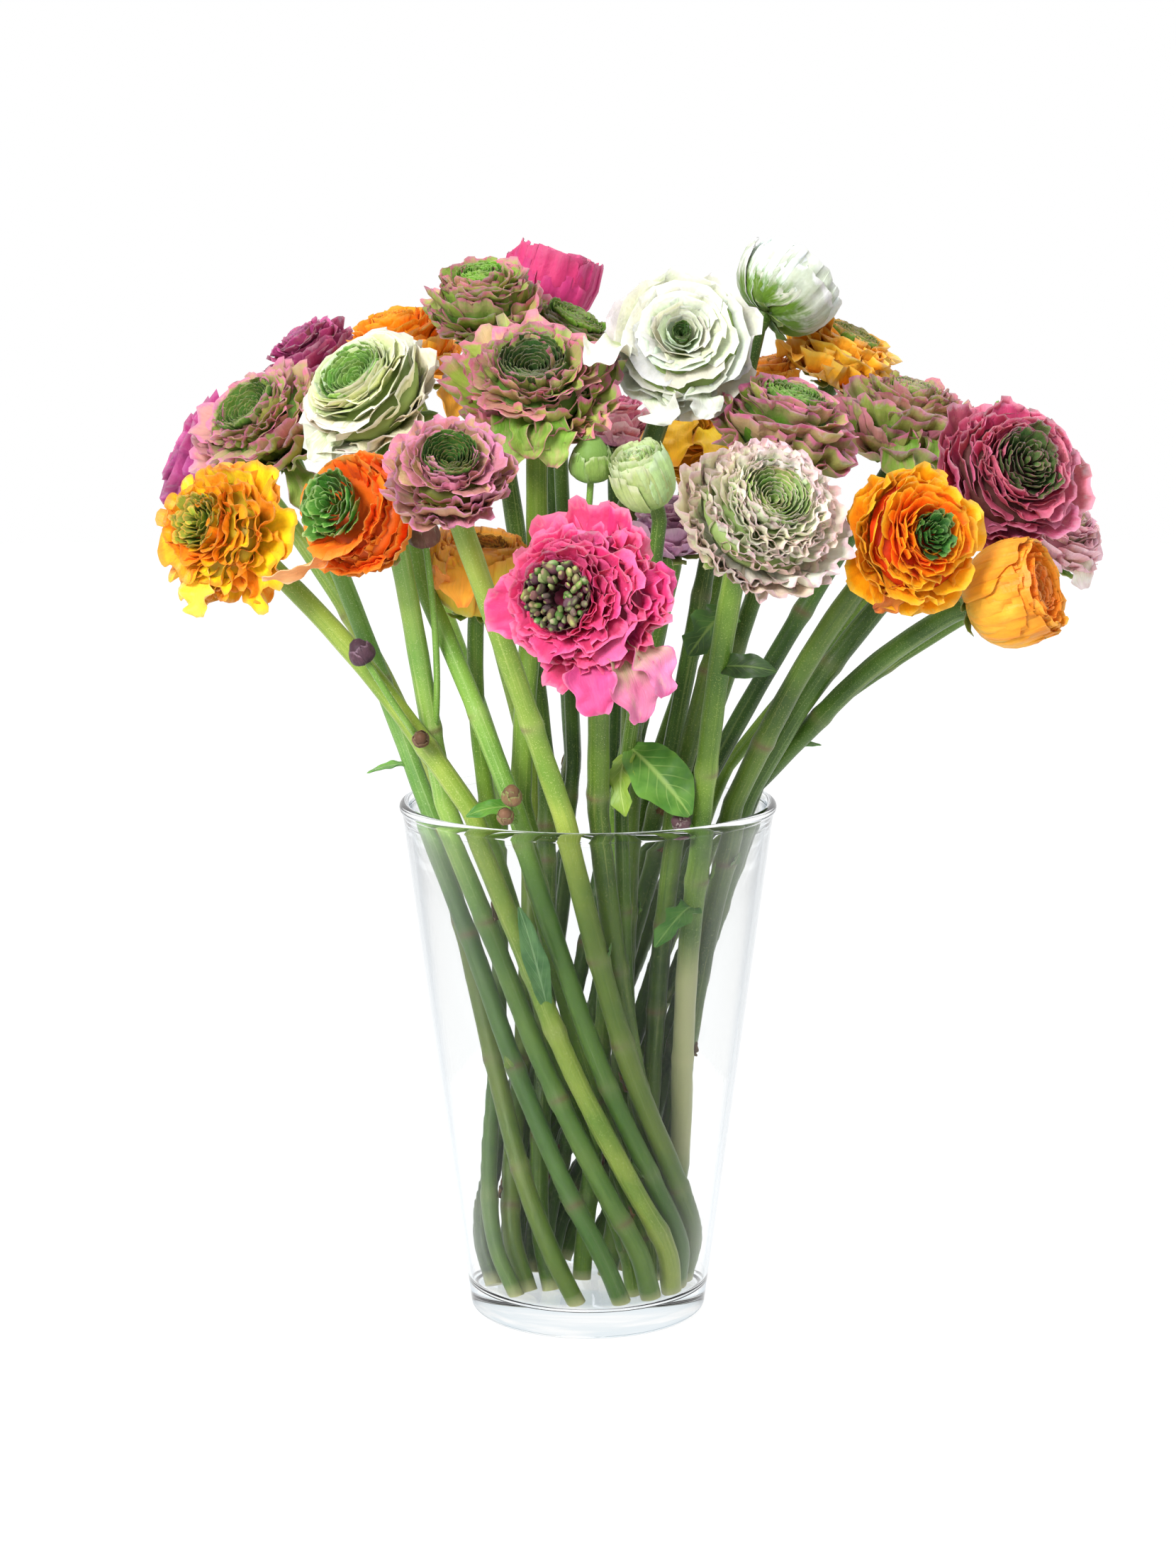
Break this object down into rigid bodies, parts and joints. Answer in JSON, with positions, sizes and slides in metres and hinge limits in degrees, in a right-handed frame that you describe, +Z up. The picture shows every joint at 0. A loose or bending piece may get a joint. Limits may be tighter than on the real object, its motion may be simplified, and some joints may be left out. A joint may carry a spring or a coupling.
{
  "type": "ranunculus bouquet in a glass vase",
  "caption": "Loose bouquet of many-petalled ranunculus blooms on bare green stems, standing in a clear conical glass vase.",
  "frame": {"origin": "centre of the vase's flat underside", "axes": "+Z up out of the vase, -Y towards the side that is seen in the picture, +X to its right"},
  "size_m": [0.4599, 0.3071, 0.5146],
  "materials": {
    "vase_glass": "clear, polished",
    "stem_green": "fresh green plant stems, satin",
    "petals_green": "soft petals, matt",
    "petals_magenta": "soft petals, matt",
    "petals_white": "soft petals, matt",
    "petals_orange": "soft petals, matt",
    "petals_yellow": "soft petals, matt",
    "petals_scarlet": "soft petals, matt",
    "petals_pink": "soft petals, matt",
    "petals_mauve": "soft petals, matt",
    "petals_cream": "soft petals, matt"
  },
  "bodies": {
    "root": {"vase": "vase_glass", "stem_01": "stem_green", "stem_02": "stem_green", "stem_03": "stem_green", "stem_04": "stem_green", "stem_05": "stem_green", "stem_06": "stem_green", "stem_07": "stem_green", "stem_08": "stem_green", "stem_09": "stem_green", "stem_10": "stem_green", "stem_11": "stem_green", "stem_12": "stem_green", "stem_13": "stem_green", "stem_14": "stem_green", "stem_16": "stem_green", "stem_17": "stem_green", "stem_20": "stem_green", "stem_21": "stem_green", "stem_22": "stem_green", "stem_23": "stem_green", "stem_24": "stem_green", "stem_25": "stem_green", "stem_26": "stem_green", "stem_27": "stem_green", "stem_28": "stem_green", "stem_29": "stem_green", "stem_30": "stem_green", "stem_31": "stem_green", "stem_34": "stem_green", "stem_19": "stem_green", "bloom_01": "petals_green", "bloom_03": "petals_green", "bloom_04": "petals_green", "bloom_28": "petals_green", "bloom_02": "petals_magenta", "bloom_09": "petals_magenta", "bloom_27": "petals_magenta", "bloom_05": "petals_white", "bloom_06": "petals_white", "bloom_08": "petals_white", "bloom_07": "petals_orange", "bloom_16": "petals_orange", "bloom_21": "petals_orange", "bloom_24": "petals_orange", "bloom_25": "petals_orange", "bloom_29": "petals_orange", "bloom_30": "petals_orange", "bloom_12": "petals_yellow", "bloom_13": "petals_scarlet", "bloom_11": "petals_pink", "bloom_17": "petals_pink", "bloom_20": "petals_pink", "bloom_31": "petals_pink", "bloom_10": "petals_mauve", "bloom_14": "petals_mauve", "bloom_34": "petals_mauve", "bloom_22": "petals_cream", "bloom_23": "petals_cream", "bloom_26": "petals_cream"}
  },
  "joints": []
}
